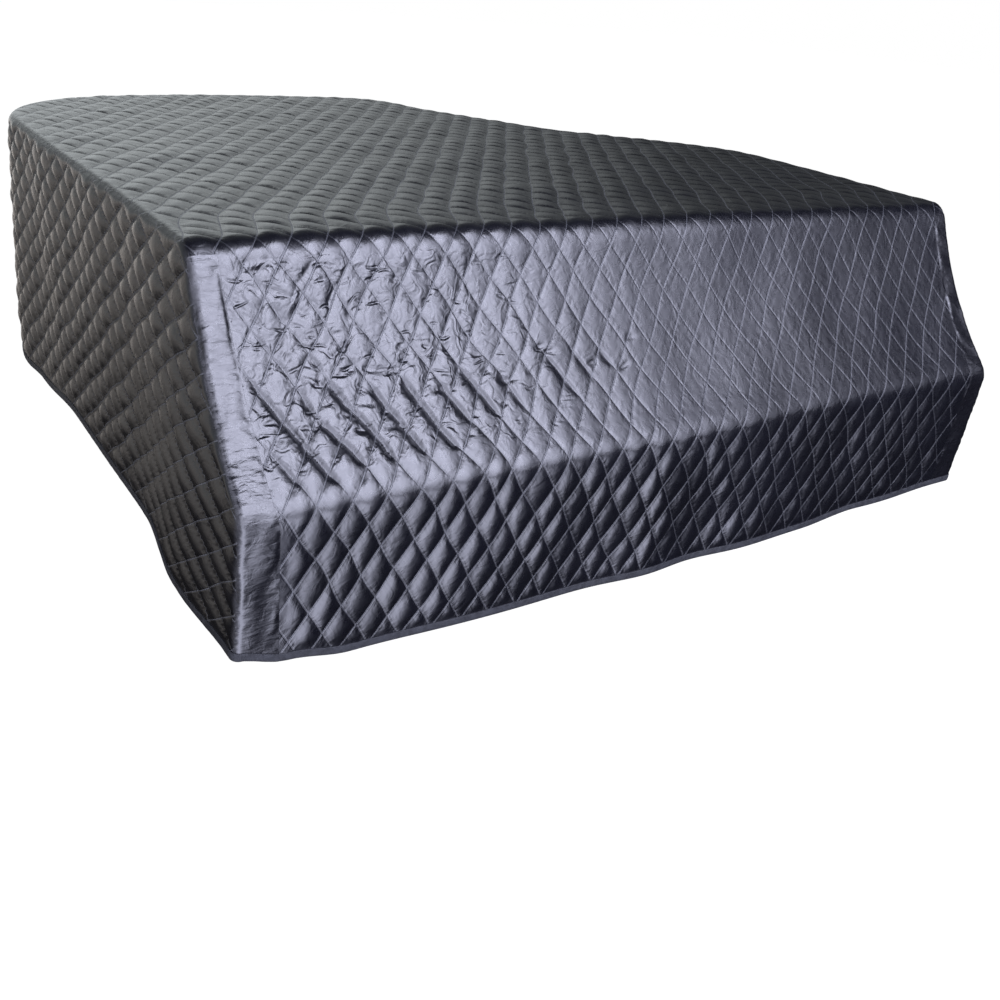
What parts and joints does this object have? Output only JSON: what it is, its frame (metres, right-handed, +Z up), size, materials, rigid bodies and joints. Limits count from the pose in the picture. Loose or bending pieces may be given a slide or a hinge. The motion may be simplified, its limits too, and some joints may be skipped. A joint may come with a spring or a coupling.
{
  "type": "quilted fitted grand piano cover",
  "caption": "Fitted quilted cover shaped to a closed grand piano: a flat top and sloping front in one cloth, plain corner strips, a deep side band and bound hems, hollow and open below.",
  "frame": {"origin": "the mount lid_rest, under the middle of the cover's top, where the piano's closed lid carries it", "axes": "+X to the treble side, +Y to the tail, +Z up; the keyboard front faces -Y"},
  "size_m": [1.5816, 1.6867, 0.562],
  "materials": {
    "quilted_satin": "dark navy-black satin, padded and stitched in diamonds",
    "plain_satin": "the same satin unquilted, with fine crinkles",
    "binding_tape": "dull grey woven tape"
  },
  "bodies": {
    "root": {"top_and_front": "quilted_satin", "side_band": "quilted_satin", "bass_strip": "plain_satin", "treble_strip": "plain_satin", "front_binding": "binding_tape", "side_binding": "binding_tape"}
  },
  "joints": []
}
